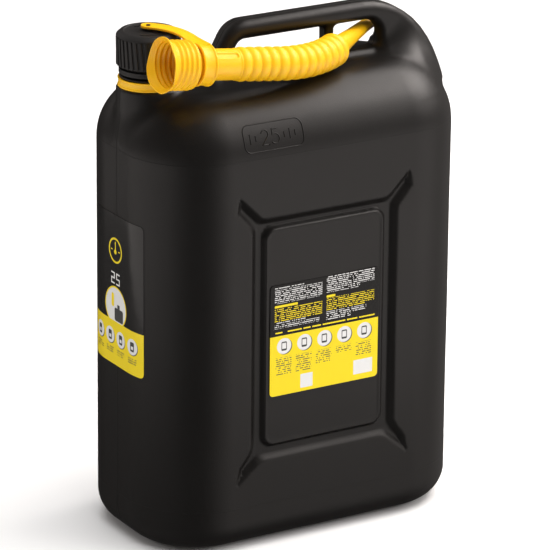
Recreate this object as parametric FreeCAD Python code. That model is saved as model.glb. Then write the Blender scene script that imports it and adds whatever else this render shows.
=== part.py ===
import FreeCAD, Part
import math
import os

# Twenty-five litre fuel can of blow-moulded polyethylene, in millimetres. Z is up, the can is
# widest along X, the pressed panel faces -Y, and the origin is the middle of its footprint.

V = FreeCAD.Vector
UP = V(0, 0, 1)
ACROSS = V(0, 1, 0)

# the can
body_w = 357.0          # width along X
body_d = 195.0          # depth along Y
corner_r = 76.0         # upright corners
deck_z = 460.0          # flat deck under the handle
shoulder_r = 60.0       # top edge of the walls
foot_r = 31.0           # bottom edge of the walls
wall = 2.2
clear = 0.3             # running clearance between pieces
snug = 0.05             # gap between pieces that are moulded or glued together

# pressed panel, the same on both faces
panel_w = 132.0
panel_low = 107.5
panel_high = 329.0
panel_r = 9.0
channel = 17.5          # width of the channel round the panel
channel_deep = 5.0
spur_w = 19.0
spur_run = 21.0         # how far each corner groove runs out, along X and along Z

# handle
handle_top = 515.0
handle_t = 26.0
handle_edge = 8.4
bar_h = 19.0
leg_slope = 1.57        # rise over run of the leaning leg
leg_foot_x = -90.0      # where the leg's outer edge meets the deck
leg_w = 21.0
leg_r = 26.0
heel_r = 83.0           # sweep of the handle down to the side of the can
window_r = 9.0
web_x = 57.5
web_w = 10.0
web_t = 14.0
hole_right = 113.0
hole_low = 465.5
hole_r = 14.0

# neck and its thread, shared by the cap and the spout
neck_x = -143.0
seat_r = 31.5
seat_z = 463.3
neck_rim = 507.0
thread_minor = 20.7
thread_major = 22.3
thread_pitch = 5.5
thread_turns = 2.2
thread_low = 485.0
thread_rib = 2.4        # width of a ridge at its foot
neck_bore = 18.4
collar_r = 27.0
bead_r = 28.5
bead_t = 2.2
ring_h = 8.6
ring_r = 30.0
thread_fit = 0.4        # radial clearance of the thread

# cap
cap_top = 518.0
cap_r = 31.5
cap_chamfer = 4.0
knurl_n = 36
knurl_deep = 1.2
knurl_low = 485.0
knurl_high = 513.5
shell_t = 2.0
cap_push_travel = 2.5
core_flange_r = 28.8
core_flange_t = 4.5
core_sleeve_t = 2.5
core_top_t = 2.2
ledge_t = 2.2
ledge_in = 2.0
snap_reach = 0.5
dog_n = 6
dog_span = 12.0         # degrees
dog_in = 13.0
dog_out = 23.0
rib_share = 0.55        # of the knurl pitch
skirt_rise = 0.5        # from the shell's lower edge to the foot of the knurls
core_turns = 1.6
merge = 0.3             # how far a ridge or tooth runs into the wall behind it
dog_core_h = 1.5
dog_shell_h = 1.6
liner_t = 1.7

# tether
strap_w = 14.5
strap_t = 2.6
strap_lift = 2.6        # underside of the strap over the cap
pin_r = 3.2
pin_top_r = 2.2
pin_boss_r = 5.5
pin_head_r = 5.2
pin_head_t = 1.2
band_t = 2.4
band_w = strap_w
band_gap = 2.0          # from the spout's shoulder to the band

# spout, stowed along the front of the neck and handle
mouth_x = -163.0
mouth_z = 501.0
spout_tilt = 7.5       # degrees that it falls towards the handle
lip_r = 28.5
mouth = V(mouth_x, -cap_r - lip_r, mouth_z)
lip_run = 5.0
lip_t = 1.2
socket_run = 31.0       # length of the threaded mouth
socket_t = 0.9
socket_rib = 1.0
socket_rib_w = 3.4
shoulder_run = 4.0
tube_r = 15.3
tube_t = 1.2
tube_end = 83.0         # from the mouth to where the corrugations start
fin_w = 6.0
fin_h = 1.4
band_in = tube_r + 2.7  # the band clears the tube and its fin
bellows_r = tube_r + 1.5
bellows_root = tube_r - 0.7
bellows_t = 1.2
bellows_n = 13
bend_at = 174.5         # mouth to the crossing of the two axes
bend_tangent = 46.5
nozzle_turn = 36.0      # degrees in plan from the spout's axis
nozzle_rise = 2.3       # degrees
nozzle_root_r = 10.5
nozzle_r = 8.0
nozzle_tip_r = 6.5
nozzle_taper = 40.0
nozzle_len = 104.0
nozzle_tip_run = 30.0   # straight end that goes into a filler neck
nozzle_t = 1.2
tunnel_room = 4.0       # round the nozzle where it passes through the handle

# labels
label_t = 0.35
label_r = 3.0
side_label_w = 93.0
side_label_low = 180.0
side_label_high = 336.0
panel_label_w = 124.0
panel_label_low = 157.0
panel_label_high = 272.0


def rounded_wire(corners, place):
    """Closed outline through (u, v, radius) corners, with tangent arcs; place maps u, v to space."""
    edges = []
    ends = []
    count = len(corners)
    for i, (u, v, r) in enumerate(corners):
        here = V(u, v, 0)
        back = V(*corners[i - 1][:2], 0) - here
        ahead = V(*corners[(i + 1) % count][:2], 0) - here
        half = back.getAngle(ahead) / 2
        back.normalize()
        ahead.normalize()
        reach = r / math.tan(half)
        middle = back + ahead
        middle.normalize()
        near = here + middle * (r / math.sin(half) - r)
        ends.append((here + back * reach, near, here + ahead * reach, r))
    for i, (start, near, stop, r) in enumerate(ends):
        if r:
            edges.append(Part.Arc(place(start), place(near), place(stop)).toShape())
        following = ends[(i + 1) % count][0]
        if (following - stop).Length > 1e-6:
            edges.append(Part.LineSegment(place(stop), place(following)).toShape())
    return Part.Wire(edges)


def flat_block(width, depth, radius, low, high):
    """Upright block with rounded corners, centred on the Z axis."""
    x = width / 2
    y = depth / 2
    corners = [(-x, -y, radius), (x, -y, radius), (x, y, radius), (-x, y, radius)]
    wire = rounded_wire(corners, lambda p: V(p.x, p.y, low))
    return Part.Face(wire).extrude(V(0, 0, high - low))


def front_plate(corners, y, depth):
    """Plate whose outline lies in the XZ plane at y and which runs depth along +Y."""
    wire = rounded_wire(corners, lambda p: V(p.x, y, p.y))
    return Part.Face(wire).extrude(V(0, depth, 0))


def rounded_box(width, low, high, radius):
    x = width / 2
    return [(-x, low, radius), (x, low, radius), (x, high, radius), (-x, high, radius)]


def turned(profile):
    """Solid of revolution round Z of (radius, z) points."""
    wire = Part.makePolygon([V(r, 0, z) for r, z in profile + profile[:1]])
    return Part.Face(wire).revolve(V(0, 0, 0), UP, 360)


def tube(inner, outer, low, high):
    return turned([(inner, low), (outer, low), (outer, high), (inner, high)])


def disc(radius, low, high):
    return Part.makeCylinder(radius, high - low, V(0, 0, low))


def can_block(inset):
    """The can without neck and handle, shrunk by inset on every side."""
    block = flat_block(body_w - 2 * inset, body_d - 2 * inset, corner_r - inset, inset, deck_z - inset)
    top = [e for e in block.Edges if e.BoundBox.ZMin > deck_z - inset - 1]
    block = block.makeFillet(shoulder_r - inset, top)
    foot = [e for e in block.Edges if e.BoundBox.ZMax < inset + 1]
    return block.makeFillet(foot_r - inset, foot)


def channel_cut(grow, deep):
    """Channel round the pressed panel with its four corner grooves, on the front face."""
    y = -body_d / 2
    half_w = panel_w / 2 + channel
    low = panel_low - channel
    high = panel_high + channel - 3
    outer = rounded_box(2 * (half_w + grow), low - grow, high + grow, panel_r + channel / 2 + grow)
    inner = rounded_box(panel_w - 2 * grow, panel_low + grow, panel_high - grow, max(panel_r - grow, 1))
    ring = front_plate(outer, y - 1, deep + 1).cut(front_plate(inner, y - 2, deep + 3))
    width = spur_w + 2 * grow
    for side in (-1, 1):
        for corner_z, way in ((low, -1), (high, 1)):
            start = V(side * (half_w - channel / 2), y - 1, corner_z - way * channel / 2)
            stop = start + V(side * spur_run, 0, way * spur_run)
            for end in (start, stop):
                ring = ring.fuse(Part.makeCylinder(width / 2, deep + 1, end, ACROSS))
            along = stop - start
            beside = along.cross(ACROSS)
            beside.normalize()
            beside = beside * (width / 2)
            corners = [start - beside, start + beside, stop + beside, stop - beside]
            bar = Part.Face(Part.makePolygon(corners + corners[:1])).extrude(V(0, deep + 1, 0))
            ring = ring.fuse(bar)
    return ring


def both_faces(shape):
    """The shape and its half turn about Z."""
    other = shape.copy()
    other.rotate(V(0, 0, 0), UP, 180)
    return [shape, other]


def handle_outline():
    foot_z = deck_z - shoulder_r / 2
    side_x = body_w / 2 - 0.5
    run = (handle_top - deck_z) / leg_slope
    drop = (deck_z - foot_z) / leg_slope
    return [
        (leg_foot_x - drop, foot_z, 0),
        (leg_foot_x + run, handle_top, leg_r),
        (side_x, handle_top, heel_r),
        (side_x, foot_z, 0),
    ]


def handle_window():
    """Opening under the bar: the finger grip and, beyond the web, the hole for the nozzle."""
    under = handle_top - bar_h
    run = (under - deck_z) / leg_slope
    return [
        (leg_foot_x + leg_w, deck_z - 1, 0),
        (leg_foot_x + leg_w + run, under, window_r),
        (hole_right, under, hole_r),
        (hole_right, deck_z - 1, hole_r),
    ]


def handle_plate():
    y = -handle_t / 2
    plate = front_plate(handle_outline(), y, handle_t)
    plate = plate.cut(front_plate(handle_window(), y - 1, handle_t + 2))
    foot_z = deck_z - shoulder_r / 2
    skin = [e for e in plate.Edges if e.BoundBox.YLength < 0.01 and e.BoundBox.ZMax > foot_z + 1]
    plate = plate.makeFillet(handle_edge, skin)
    web_low = deck_z - 2
    web = V(web_x - web_w / 2, -web_t / 2, web_low)
    plate = plate.fuse(Part.makeBox(web_w, web_t, handle_top - bar_h + 2 - web_low, web))
    sill = V(web_x, -web_t / 2, web_low)
    return plate.fuse(Part.makeBox(hole_right + 2 - web_x, web_t, hole_low - web_low, sill))


def handle_void():
    """Hollow of the moulded handle: the bar and the sweep down to the can."""
    inside = wall + 1
    y = -handle_t / 2 + inside
    outline = Part.Face(rounded_wire(handle_outline(), lambda p: V(p.x, y, p.y)))
    void = outline.makeOffset2D(-inside).extrude(V(0, handle_t - 2 * inside, 0))
    hole = Part.Face(rounded_wire(handle_window(), lambda p: V(p.x, y - 1, p.y))).makeOffset2D(inside)
    void = void.cut(hole.extrude(V(0, handle_t, 0)))
    return void.common(Part.makeBox(body_w, body_d, bar_h + 60, V(-body_w / 2, -body_d / 2, deck_z)))


def nozzle_dir():
    turn = math.radians(nozzle_turn)
    rise = math.radians(nozzle_rise)
    return V(math.cos(turn) * math.cos(rise), math.sin(turn) * math.cos(rise), math.sin(rise))


def spout_dir():
    tilt = math.radians(spout_tilt)
    return V(math.cos(tilt), 0, -math.sin(tilt))


def bend_point():
    return mouth + spout_dir() * bend_at


def ridge(inner, outer, low, turns, width):
    """Helical thread ridge, from radius inner to outer, whose foot is on the wider side."""
    height = turns * thread_pitch
    foot_out = width < 0
    width = abs(width)
    helix = Part.makeHelix(thread_pitch, height, (inner + outer) / 2)
    helix.translate(V(0, 0, low))
    foot = width / 2
    crest = width / 4
    a, b = (crest, foot) if foot_out else (foot, crest)
    section = Part.makePolygon([
        V(inner, 0, low - a), V(outer, 0, low - b), V(outer, 0, low + b), V(inner, 0, low + a), V(inner, 0, low - a)
    ])
    return Part.Wire(helix.Edges).makePipeShell([section], True, True)


def neck():
    """Neck with seat, collar, bead that holds the ring, and external thread; bored through."""
    bead_z = seat_z + ring_h + 2 * clear
    shape = disc(seat_r, deck_z - shoulder_r / 2, seat_z)
    shape = shape.fuse(disc(collar_r, seat_z - 1, bead_z))
    shape = shape.fuse(disc(bead_r, bead_z, bead_z + bead_t))
    shape = shape.fuse(disc(thread_minor, bead_z, neck_rim))
    foot = thread_minor - merge
    shape = shape.fuse(ridge(foot, thread_major, thread_low, thread_turns, thread_rib))
    return shape


def can_body():
    outer = can_block(0)
    inner = can_block(wall)
    for cut in both_faces(channel_cut(0, channel_deep)):
        outer = outer.cut(cut)
    for keep in both_faces(channel_cut(wall, channel_deep + wall)):
        inner = inner.cut(keep)
    top = neck()
    top.translate(V(neck_x, 0, 0))
    outer = outer.fuse(top).fuse(handle_plate())
    hollow = disc(seat_r - wall, deck_z - shoulder_r / 2, seat_z - wall)
    hollow = hollow.fuse(disc(neck_bore, deck_z - shoulder_r / 2, neck_rim + 1))
    hollow.translate(V(neck_x, 0, 0))
    shape = outer.cut(inner).cut(hollow).cut(handle_void())
    tunnel_r = nozzle_r + tunnel_room
    half_plane = handle_t / 2 / math.sin(math.radians(nozzle_turn))
    reach = -mouth.y / math.sin(math.radians(nozzle_turn))
    start = bend_point() + nozzle_dir() * (reach - half_plane - tunnel_r)
    run = 2 * (half_plane + tunnel_r)
    return shape.cut(Part.makeCylinder(tunnel_r, run, start, nozzle_dir()))


def neck_ring():
    low = seat_z + clear
    inner = collar_r + 2 * clear
    lip = 0.6
    high = low + ring_h
    ring = turned([
        (inner, low), (ring_r, low), (ring_r, low + 1), (ring_r - lip, low + 1),
        (ring_r - lip, high - 1), (ring_r, high - 1), (ring_r, high), (inner, high)
    ])
    ring.translate(V(neck_x, 0, 0))
    return ring


def cap_levels():
    """Heights inside the cap, from its top down."""
    under = cap_top - shell_t
    core_top = under - cap_push_travel - dog_shell_h - clear - 0.1
    core_low = core_top - core_top_t
    return under, core_top, core_low


def dog_sector(middle, low, high):
    """One driving tooth of the two cap shells."""
    sector = tube(dog_in, dog_out, low, high)
    blade = Part.makeCylinder(cap_r, high - low, V(0, 0, low), UP, dog_span)
    blade.rotate(V(0, 0, 0), UP, middle - dog_span / 2)
    return sector.common(blade)


def cap_outer():
    under = cap_levels()[0]
    base_r = cap_r - knurl_deep
    bore = core_flange_r - snap_reach
    low = knurl_low - skirt_rise
    snap = ledge_t + clear
    shell = turned([
        (pin_r + clear, under), (bore, under), (bore, low + snap), (bore - ledge_in, low + snap - skirt_rise), (bore - ledge_in, low),
        (base_r, low), (base_r, knurl_high), (base_r + knurl_deep, knurl_high),
        (base_r + knurl_deep, cap_top - cap_chamfer), (base_r + knurl_deep - cap_chamfer, cap_top), (pin_r + clear, cap_top)
    ])
    step = 360.0 / knurl_n
    rib = Part.makeCylinder(cap_r, knurl_high - knurl_low, V(0, 0, knurl_low), UP, step * rib_share)
    rib = rib.cut(disc(base_r - merge, knurl_low - 1, knurl_high + 1))
    ribs = []
    for i in range(knurl_n):
        one = rib.copy()
        one.rotate(V(0, 0, 0), UP, i * step)
        ribs.append(one)
    shell = shell.fuse(ribs)
    pitch = 360.0 / dog_n
    dogs = [dog_sector((i + 0.5) * pitch, under - dog_shell_h, under + merge) for i in range(dog_n)]
    shell = shell.fuse(dogs)
    shell.translate(V(neck_x, 0, 0))
    return shell


def cap_inner():
    under, core_top, core_low = cap_levels()
    bore = thread_major + thread_fit
    sleeve = bore + core_sleeve_t
    low = knurl_low - skirt_rise - cap_push_travel - snap_reach
    ledge = knurl_low - skirt_rise + ledge_t + 2 * clear
    flange = core_flange_r
    core = turned([
        (bore, low - core_flange_t), (flange, low - core_flange_t), (flange, low), (sleeve, low), (sleeve, ledge),
        (flange - 1, ledge), (flange - 1, ledge + ledge_t), (sleeve, ledge + ledge_t + 1), (sleeve, core_top),
        (0, core_top), (0, core_low), (bore, core_low)
    ])
    crest = thread_minor + thread_fit
    start = thread_low + thread_pitch / 2
    core = core.fuse(ridge(crest, bore + merge, start, core_turns, -thread_rib))
    pitch = 360.0 / dog_n
    dogs = [dog_sector(i * pitch, core_top - merge, core_top + dog_core_h) for i in range(dog_n)]
    core = core.fuse(dogs)
    core.translate(V(neck_x, 0, 0))
    return core


def cap_seal():
    low = neck_rim + clear
    seal = disc(thread_major + thread_fit - clear, low, low + liner_t)
    seal.translate(V(neck_x, 0, 0))
    return seal


def tether_button():
    """Pin that the strap swivels on, snapped through the top of the cap."""
    under = cap_top - shell_t
    strap_low = cap_top + strap_lift
    pin = turned([
        (0, under - clear - pin_head_t), (pin_head_r - 1, under - clear - pin_head_t), (pin_head_r, under - clear),
        (pin_r, under - clear), (pin_r, cap_top + clear), (pin_boss_r, cap_top + clear),
        (pin_boss_r, strap_low - clear), (pin_top_r, strap_low - clear), (pin_top_r, strap_low + strap_t),
        (0, strap_low + strap_t)
    ])
    pin.translate(V(neck_x, 0, 0))
    return pin


def strap_route():
    """Centre line of the strap, from the pin to the top of the band round the spout."""
    level = cap_top + strap_lift + strap_t / 2
    band = mouth + spout_dir() * (socket_run + shoulder_run + band_gap + band_w / 2)
    top = V(band.x, band.y, band.z + band_in + band_t / 2)
    route = Part.BezierCurve()
    route.setPoles([
        V(neck_x, 0, level), V(neck_x + 12, -14, level), V(top.x + 1, -34, level),
        V(top.x, top.y + 24, top.z), V(top.x, top.y - 2, top.z)
    ])
    return route


def tether_strap():
    route = strap_route()
    steps = 14
    sections = []
    for i in range(steps + 1):
        point = route.value(i / steps)
        ahead = route.tangent(i / steps)[0]
        beside = V(ahead.y, -ahead.x, 0)
        beside.normalize()
        up = beside.cross(ahead) * (strap_t / 2)
        beside = beside * (strap_w / 2)
        corners = [point - beside - up, point + beside - up, point + beside + up, point - beside + up]
        sections.append(Part.makePolygon(corners + corners[:1]))
    strap = Part.makeLoft(sections, True, True)
    low = cap_top + strap_lift
    end = disc(strap_w / 2, low, low + strap_t)
    end.translate(V(neck_x, 0, 0))
    centre = mouth + spout_dir() * (socket_run + shoulder_run + band_gap)
    band = Part.makeCylinder(band_in + band_t, band_w, centre, spout_dir())
    shape = strap.fuse(end).fuse(band)
    shape = shape.cut(Part.makeCylinder(band_in, band_w + 20, centre - spout_dir() * 10, spout_dir()))
    hole = disc(pin_top_r + clear, low - 1, low + strap_t + 1)
    hole.translate(V(neck_x, 0, 0))
    return shape.cut(hole)


def along(shape, origin, direction):
    """Move a shape that was made up the Z axis onto another axis."""
    shape.Placement = FreeCAD.Placement(origin, FreeCAD.Rotation(UP, direction))
    return shape


def spout_socket():
    """Threaded mouth, shoulder and plain tube of the spout."""
    bore = thread_major + thread_fit
    outer = bore + socket_t
    step = socket_run + shoulder_run
    shell = turned([
        (lip_r - lip_t, 0), (lip_r, 0), (outer, lip_run), (outer, socket_run), (tube_r, step),
        (tube_r, tube_end), (tube_r - tube_t, tube_end), (tube_r - tube_t, step - 1), (bore, socket_run - 1),
        (bore, lip_run)
    ])
    first = lip_run + 2
    turns = (socket_run - first - 3) / thread_pitch
    shell = shell.fuse(ridge(thread_minor + thread_fit, bore + merge, first, turns, -thread_rib))
    shell = shell.fuse(ridge(outer - merge, outer + socket_rib, first, turns, socket_rib_w))
    fin = Part.makeBox(fin_h + tube_t, fin_w, tube_end - step - 6, V(tube_r - tube_t / 2, -fin_w / 2, step + 1))
    fin.rotate(V(0, 0, 0), UP, 180)
    return along(shell.fuse(fin), mouth, spout_dir())


def bellows_frame(s):
    """Centre and direction at distance s from the mouth, along the spout's bent centre line."""
    start = bend_at - bend_tangent
    turn = spout_dir().getAngle(nozzle_dir())
    radius = bend_tangent / math.tan(turn / 2)
    angle = min(max((s - start) / radius, 0), turn)
    axis = spout_dir().cross(nozzle_dir())
    inward = axis.cross(spout_dir())
    inward.normalize()
    if s <= start:
        return mouth + spout_dir() * s, spout_dir()
    centre = mouth + spout_dir() * start + inward * radius
    point = centre - inward * (radius * math.cos(angle)) + spout_dir() * (radius * math.sin(angle))
    heading = spout_dir() * math.cos(angle) + inward * math.sin(angle)
    return point, heading


def bellows_len():
    turn = spout_dir().getAngle(nozzle_dir())
    radius = bend_tangent / math.tan(turn / 2)
    return bend_at - bend_tangent - tube_end + radius * turn


def corrugated(crest, root):
    sections = []
    steps = 2 * bellows_n
    for i in range(steps + 1):
        share = i / steps
        s = tube_end + snug + share * (bellows_len() - 2 * snug)
        point, heading = bellows_frame(s)
        radius = crest if i % 2 else root
        sections.append(Part.Wire(Part.Circle(point, heading, radius).toShape()))
    return Part.makeLoft(sections, True, True)


def spout_bellows():
    return corrugated(bellows_r, bellows_root).cut(corrugated(bellows_r - bellows_t, bellows_root - bellows_t))


def spout_nozzle():
    """Tapered pouring nozzle with the closed end of the bellows at its root."""
    taper = nozzle_taper
    shape = turned([
        (nozzle_root_r - nozzle_t, 0), (bellows_root - 0.6, 0), (nozzle_root_r, 4), (nozzle_r, taper),
        (nozzle_tip_r, nozzle_len - nozzle_tip_run), (nozzle_tip_r, nozzle_len),
        (nozzle_tip_r - nozzle_t, nozzle_len), (nozzle_r - nozzle_t, taper), (nozzle_root_r - nozzle_t, 4)
    ])
    return along(shape, bend_point() + nozzle_dir() * bend_tangent, nozzle_dir())


def side_label():
    low = side_label_low
    high = side_label_high
    grown = 2 * (label_t + snug)
    outer = flat_block(body_w + grown, body_d + grown, corner_r + grown / 2, low, high)
    inner = flat_block(body_w + 2 * snug, body_d + 2 * snug, corner_r + snug, low - 1, high + 1)
    window = Part.makeBox(body_w / 2, side_label_w, high - low, V(-body_w / 2 - 5, -side_label_w / 2, low))
    return outer.cut(inner).common(window)


def panel_label():
    corners = rounded_box(panel_label_w, panel_label_low, panel_label_high, label_r)
    return front_plate(corners, -body_d / 2 - snug - label_t, label_t)


os.makedirs("parts", exist_ok=True)
pieces = {
    "can_body": can_body,
    "neck_ring": neck_ring,
    "cap_outer": cap_outer,
    "cap_inner": cap_inner,
    "cap_seal": cap_seal,
    "tether_button": tether_button,
    "tether_strap": tether_strap,
    "spout_socket": spout_socket,
    "spout_bellows": spout_bellows,
    "spout_nozzle": spout_nozzle,
    "side_label": side_label,
    "panel_label": panel_label,
}
for name, make in pieces.items():
    shape = make()
    shape.exportStep("parts/" + name + ".step")
    box = shape.BoundBox
    print(name, len(shape.Solids), shape.isValid(), round(shape.Volume), [round(v, 1) for v in (
        box.XMin, box.XMax, box.YMin, box.YMax, box.ZMin, box.ZMax)])
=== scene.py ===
import math

import bmesh
import bpy
import numpy as np
from mathutils import Matrix, Vector


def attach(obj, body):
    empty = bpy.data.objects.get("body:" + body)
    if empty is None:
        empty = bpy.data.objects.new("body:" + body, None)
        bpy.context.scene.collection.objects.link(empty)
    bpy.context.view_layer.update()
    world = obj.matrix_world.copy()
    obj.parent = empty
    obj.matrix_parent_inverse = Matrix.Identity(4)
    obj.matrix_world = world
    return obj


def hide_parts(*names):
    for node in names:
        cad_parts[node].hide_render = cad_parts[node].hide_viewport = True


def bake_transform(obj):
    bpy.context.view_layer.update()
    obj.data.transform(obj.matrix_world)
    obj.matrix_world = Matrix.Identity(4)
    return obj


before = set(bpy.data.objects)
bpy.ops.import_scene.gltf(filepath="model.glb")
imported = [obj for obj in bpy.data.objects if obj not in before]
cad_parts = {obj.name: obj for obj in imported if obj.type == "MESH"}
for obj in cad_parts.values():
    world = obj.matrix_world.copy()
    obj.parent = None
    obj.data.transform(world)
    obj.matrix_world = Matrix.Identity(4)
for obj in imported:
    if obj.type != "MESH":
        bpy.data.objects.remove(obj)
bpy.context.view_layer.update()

# ---------------------------------------------------------------- the can
# One blow-moulded shell of black polyethylene, with its handle and the seat of its neck in the
# same piece. The parison is blown out against a split steel mould, so every edge is soft.

CAN_HALF_WIDTH = 178.5
CAN_HALF_DEPTH = 97.5
CAN_CORNER = 76.0
CAN_DECK = 460.0
CAN_SHOULDER = 60.0
CAN_FOOT = 31.0
NECK_X = -143.0
SEAT_RADIUS = 31.5
SEAT_TOP = 463.3
HANDLE_HALF_THICK = 13.0
HANDLE_EDGE = 8.4
HANDLE_OUTLINE = [(-103.0, 430.0, 0), (-54.968, 515.0, 26), (178.0, 515.0, 83), (178.0, 430.0, 0)]
HANDLE_WINDOW = [(-94.48, 420.0, 0), (-46.07, 496.0, 10), (113.0, 496.0, 14), (113.0, 420.0, 0)]
PANEL_CORNERS = [(-66, 107.5, 10), (66, 107.5, 10), (66, 329, 10), (-66, 329, 10)]
FRAME_CORNERS = [(-84, 90, 14), (84, 90, 14), (84, 343.5, 14), (-84, 343.5, 14)]
SPUR_TOP = [(62, 330, 0), (70, 343, 4), (98, 371, 3), (101, 350, 3), (84, 331, 5), (70, 320, 0)]
SPUR_FOOT = [(70, 116, 0), (84, 105, 5), (97, 88, 3), (102, 64, 3), (71, 89.5, 4), (62, 100, 0)]
CHANNEL_DEPTH = 5.2
PRESSED_LOW, PRESSED_HIGH, PRESSED_REACH = 50, 385, 115
WEB_X, SILL_X, SILL_TOP = 57.5, 86, 465.5
HANDLE_FILLET = 15.0
HEEL_FILLET = 34.0
HEEL_X, HEEL_Z = 108, 402
NECK_FLOOR = 434
TUNNEL_RADIUS = 12.0
NOZZLE_AXIS = np.array([0.80837, 0.58731, 0.04013])
NOZZLE_POINT = np.array([92.59, 0.0, 482.32])
CAN_CELL, QUICK_CELL = 2.7, 5.4
GRID_LOW, GRID_SPAN = (-183.0, -102.0, -4.5), (366, 204, 524)


def soft_outline(corners, step=9.0):
    """Points round a closed outline of (u, v, radius) corners, with each corner rounded."""
    points = []
    count = len(corners)
    for i, (u, v, radius) in enumerate(corners):
        here = np.array([u, v], float)
        if radius == 0:
            points.append(here)
            continue
        back = np.array(corners[i - 1][:2], float) - here
        ahead = np.array(corners[(i + 1) % count][:2], float) - here
        back /= np.linalg.norm(back)
        ahead /= np.linalg.norm(ahead)
        half = math.acos(float(np.clip(back @ ahead, -1, 1))) / 2
        middle = (back + ahead) / np.linalg.norm(back + ahead)
        centre = here + middle * radius / math.sin(half)
        start = here + back * radius / math.tan(half) - centre
        stop = here + ahead * radius / math.tan(half) - centre
        turn = math.pi - 2 * half
        way = 1.0 if start[0] * stop[1] > start[1] * stop[0] else -1.0
        parts = max(2, int(math.degrees(turn) / step))
        for k in range(parts + 1):
            angle = way * turn * k / parts
            c, s = math.cos(angle), math.sin(angle)
            points.append(centre + np.array([c * start[0] - s * start[1], s * start[0] + c * start[1]]))
    return np.array(points)


def outline_distance(outline, u, v):
    """Signed distance to a closed outline, below zero inside."""
    shape = u.shape
    u, v = u.ravel(), v.ravel()
    best = np.full(u.shape, 1e9)
    inside = np.zeros(u.shape, bool)
    for a, b in zip(outline, np.roll(outline, -1, axis=0)):
        run = b - a
        share = np.clip(((u - a[0]) * run[0] + (v - a[1]) * run[1]) / (run @ run + 1e-12), 0, 1)
        best = np.minimum(best, (u - a[0] - share * run[0]) ** 2 + (v - a[1] - share * run[1]) ** 2)
        if a[1] != b[1]:
            crosses = (a[1] > v) != (b[1] > v)
            inside ^= crosses & (u < a[0] + (v - a[1]) * run[0] / (b[1] - a[1]))
    return np.where(inside, -np.sqrt(best), np.sqrt(best)).reshape(shape)


def meet(a, b):
    """Distance to where two half-spaces meet, round on the outside."""
    return np.hypot(np.maximum(a, 0), np.maximum(b, 0)) + np.minimum(np.maximum(a, b), 0)


def flow(a, b, width):
    """Two shapes joined by a fillet, as hot plastic joins them."""
    share = np.clip(0.5 + 0.5 * (b - a) / width, 0, 1)
    return b + (a - b) * share - width * share * (1 - share)


def ease(value):
    """Smooth step from 0 to 1."""
    value = np.clip(value, 0, 1)
    return value * value * (3 - 2 * value)


def pressing_depth(x, z):
    """How far the front or back is pressed in at (x, z): the channel, its corner spurs and the panel."""
    x = np.abs(x)
    outer = outline_distance(soft_outline(FRAME_CORNERS), x, z)
    for spur in (SPUR_TOP, SPUR_FOOT):
        outer = flow(outer, outline_distance(soft_outline(spur), x, z), 5.0)
    panel = outline_distance(soft_outline(PANEL_CORNERS), x, z)
    channel = CHANNEL_DEPTH * ease(-outer / 8.5) * ease(panel / 4.2)
    crown = 0.5 * ease(-panel / 60) - 0.5
    return channel - np.where(panel < 0, crown, 0) * ease(-panel / 3)


def handle_distance(x, y, z):
    """The handle's rounded bar, with the thin web and sill in the right end of its opening."""
    flat = np.maximum(HANDLE["outline"](x, z), -HANDLE["window"](x, z))
    bar = meet(flat + HANDLE_EDGE, np.abs(y) - HANDLE_HALF_THICK + HANDLE_EDGE) - HANDLE_EDGE
    web = meet(np.maximum(np.abs(x - WEB_X) - 5, np.abs(z - 475) - 25) + 2, np.abs(y) - 5) - 2
    sill = meet(np.maximum(np.abs(x - SILL_X) - 28, z - SILL_TOP) + 2, np.abs(y) - 5) - 2
    return flow(flow(bar, web, 6.0), sill, 5.0)


def can_distance(x, y, z):
    """Signed distance in millimetres to the outside of the can."""
    px = np.abs(x) - CAN_HALF_WIDTH + CAN_CORNER
    py = np.abs(y) - CAN_HALF_DEPTH + CAN_CORNER
    plan = meet(px, py) - CAN_CORNER
    top = meet(plan + CAN_SHOULDER, z - CAN_DECK + CAN_SHOULDER) - CAN_SHOULDER
    foot = meet(plan + CAN_FOOT, CAN_FOOT - z) - CAN_FOOT
    shape = np.maximum(top, foot)
    pressed = (np.abs(y) > 84) & (z > PRESSED_LOW) & (z < PRESSED_HIGH) & (np.abs(x) < PRESSED_REACH)
    if pressed.any():
        shape = shape.copy()
        shape[pressed] += pressing_depth(x[pressed], z[pressed])
    shape += 0.14 * (1 + np.sin(x / 23 + 0.8) * np.sin(z / 31 + 1.1) * np.cos(y / 27))
    high = z > 400
    if high.any():
        x, y, z = x[high], y[high], z[high]
        upper = shape[high]
        seat = meet(np.hypot(x - NECK_X, y) - SEAT_RADIUS + 2, z - SEAT_TOP + 2) - 2
        upper = flow(upper, seat, 9.0)
        heel = ease((x - HEEL_X) / 45) * ease((z - HEEL_Z) / 36)
        within = np.minimum(upper, HANDLE["outline"](x, z)) - 4
        upper = flow(upper, handle_distance(x, y, z), HANDLE_FILLET + HEEL_FILLET * heel)
        upper += ease((x - HEEL_X) / 25) * (meet(upper + 6, within + 6) - 6 - upper)
        upper = np.maximum(upper, plan[high])
        bore = np.maximum(np.hypot(x - NECK_X, y) - 20.0, NECK_FLOOR - z)
        px, pz = x - NOZZLE_POINT[0], z - NOZZLE_POINT[2]
        run = px * NOZZLE_AXIS[0] + y * NOZZLE_AXIS[1] + pz * NOZZLE_AXIS[2]
        off = np.sqrt(np.maximum(px * px + y * y + pz * pz - run * run, 0)) - TUNNEL_RADIUS
        tunnel = np.maximum(off, np.abs(run) - 34)
        upper = np.maximum(np.maximum(upper, -bore), -tunnel)
        shape[high] = upper
    return shape


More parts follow.
